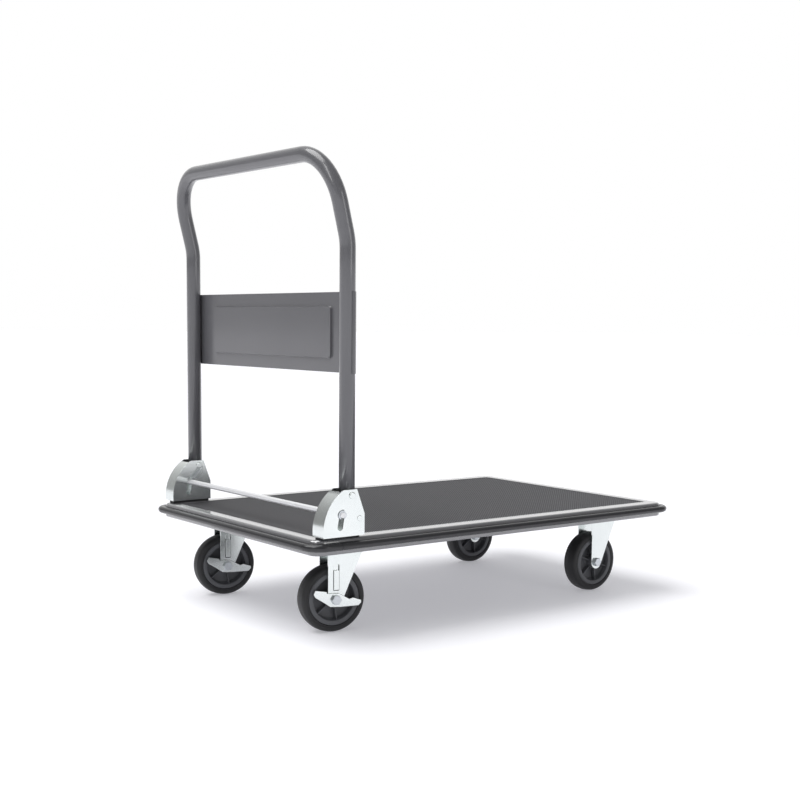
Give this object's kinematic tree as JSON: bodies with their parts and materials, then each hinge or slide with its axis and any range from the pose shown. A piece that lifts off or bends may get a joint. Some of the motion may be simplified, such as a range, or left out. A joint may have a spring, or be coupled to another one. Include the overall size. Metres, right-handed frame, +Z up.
{
  "type": "flatbed platform truck",
  "caption": "Flatbed platform truck: flat deck on casters, with a fold-down push handle, a foot release bar and caster brakes.",
  "frame": {"origin": "on the floor, under the middle of the deck", "axes": "+X the pushing direction, the handle stands at the -X end; +Y left; +Z up"},
  "size_m": [0.91, 0.61, 0.863],
  "materials": {
    "grey_paint": "semi-gloss powder coat",
    "mat_rubber": "ribbed anti-slip vinyl",
    "bumper_rubber": "satin",
    "zinc_plate": "bright zinc plate",
    "zinc_fastener": "zinc plate",
    "bright_rod": "bright drawn",
    "spring_steel": "zinc-plated wire",
    "pad_plastic": "matte",
    "bush_plastic": "natural nylon",
    "tyre_rubber": "satin black",
    "hub_plastic": "moulded, fine texture"
  },
  "bodies": {
    "deck": {"deck_pan": "grey_paint", "deck_mat": "mat_rubber", "edge_bumper": "bumper_rubber", "cross_member_rear": "grey_paint", "cross_member_front": "grey_paint", "deck_rib_left": "grey_paint", "deck_rib_right": "grey_paint", "bracket_left": "zinc_plate", "bracket_right": "zinc_plate", "bracket_pads": "pad_plastic", "bracket_bolts": "zinc_fastener", "bracket_nuts": "zinc_fastener", "pivot_pins": "zinc_plate", "stop_pins": "zinc_plate", "spring_left": "spring_steel", "spring_right": "spring_steel", "rigid_fork_left": "zinc_plate", "rigid_fork_right": "zinc_plate", "front_axle_bolts": "zinc_fastener", "front_axle_nuts": "zinc_fastener", "top_plate_left": "zinc_plate", "top_plate_right": "zinc_plate", "kingpin_left": "zinc_fastener", "kingpin_right": "zinc_fastener", "caster_bolts": "zinc_fastener", "caster_nuts": "zinc_fastener"},
    "handle": {"handle_tube": "grey_paint", "handle_panel": "grey_paint", "pivot_bushes": "bush_plastic"},
    "release_bar": {"release_bar": "bright_rod", "bar_clips": "zinc_fastener"},
    "swivel_left": {"swivel_fork_left": "zinc_plate", "race_cup_left": "zinc_plate", "rear_axle_bolt_left": "zinc_fastener", "rear_axle_nut_left": "zinc_fastener", "brake_strap_left": "zinc_plate"},
    "brake_left": {"brake_pedal_left": "zinc_plate"},
    "swivel_right": {"swivel_fork_right": "zinc_plate", "race_cup_right": "zinc_plate", "rear_axle_bolt_right": "zinc_fastener", "rear_axle_nut_right": "zinc_fastener", "brake_strap_right": "zinc_plate"},
    "brake_right": {"brake_pedal_right": "zinc_plate"},
    "wheel_front_left": {"tyre_front_left": "tyre_rubber", "hub_front_left": "hub_plastic", "bush_front_left": "bush_plastic"},
    "wheel_front_right": {"tyre_front_right": "tyre_rubber", "hub_front_right": "hub_plastic", "bush_front_right": "bush_plastic"},
    "wheel_rear_left": {"tyre_rear_left": "tyre_rubber", "hub_rear_left": "hub_plastic", "bush_rear_left": "bush_plastic"},
    "wheel_rear_right": {"tyre_rear_right": "tyre_rubber", "hub_rear_right": "hub_plastic", "bush_rear_right": "bush_plastic"}
  },
  "joints": [
    {"name": "handle_fold", "type": "hinge", "parent": "deck", "child": "handle", "pos_m": [-0.368, 0, 0.263], "axis": [0, 1, 0], "range_deg": [0, 95]},
    {"name": "bar_release", "type": "slide", "parent": "deck", "child": "release_bar", "axis": [-0.1711, 0, -0.9853], "range_m": [0, 0.0215], "stiffness_N_per_m": 800, "springref_m": -0.01, "deforming": ["spring_left", "spring_right"]},
    {"name": "swivel_left", "type": "hinge", "parent": "deck", "child": "swivel_left", "pos_m": [-0.317, 0.199, 0.149], "axis": [0, 0, 1], "continuous": true},
    {"name": "wheel_rear_left_spin", "type": "hinge", "parent": "swivel_left", "child": "wheel_rear_left", "pos_m": [-0.3435, 0.20415, 0.0625], "axis": [0.1908, 0.9816, 0], "continuous": true},
    {"name": "brake_left_press", "type": "hinge", "parent": "swivel_left", "child": "brake_left", "pos_m": [-0.3435, 0.20415, 0.0625], "axis": [-0.1908, -0.9816, 0], "range_deg": [0, 20]},
    {"name": "wheel_front_left_spin", "type": "hinge", "parent": "deck", "child": "wheel_front_left", "pos_m": [0.312, 0.199, 0.0625], "axis": [0, 1, 0], "continuous": true},
    {"name": "swivel_right", "type": "hinge", "parent": "deck", "child": "swivel_right", "pos_m": [-0.317, -0.199, 0.149], "axis": [0, 0, 1], "continuous": true},
    {"name": "wheel_rear_right_spin", "type": "hinge", "parent": "swivel_right", "child": "wheel_rear_right", "pos_m": [-0.3435, -0.19385, 0.0625], "axis": [0.1908, 0.9816, 0], "continuous": true},
    {"name": "brake_right_press", "type": "hinge", "parent": "swivel_right", "child": "brake_right", "pos_m": [-0.3435, -0.19385, 0.0625], "axis": [-0.1908, -0.9816, 0], "range_deg": [0, 20]},
    {"name": "wheel_front_right_spin", "type": "hinge", "parent": "deck", "child": "wheel_front_right", "pos_m": [0.312, -0.199, 0.0625], "axis": [0, 1, 0], "continuous": true}
  ]
}
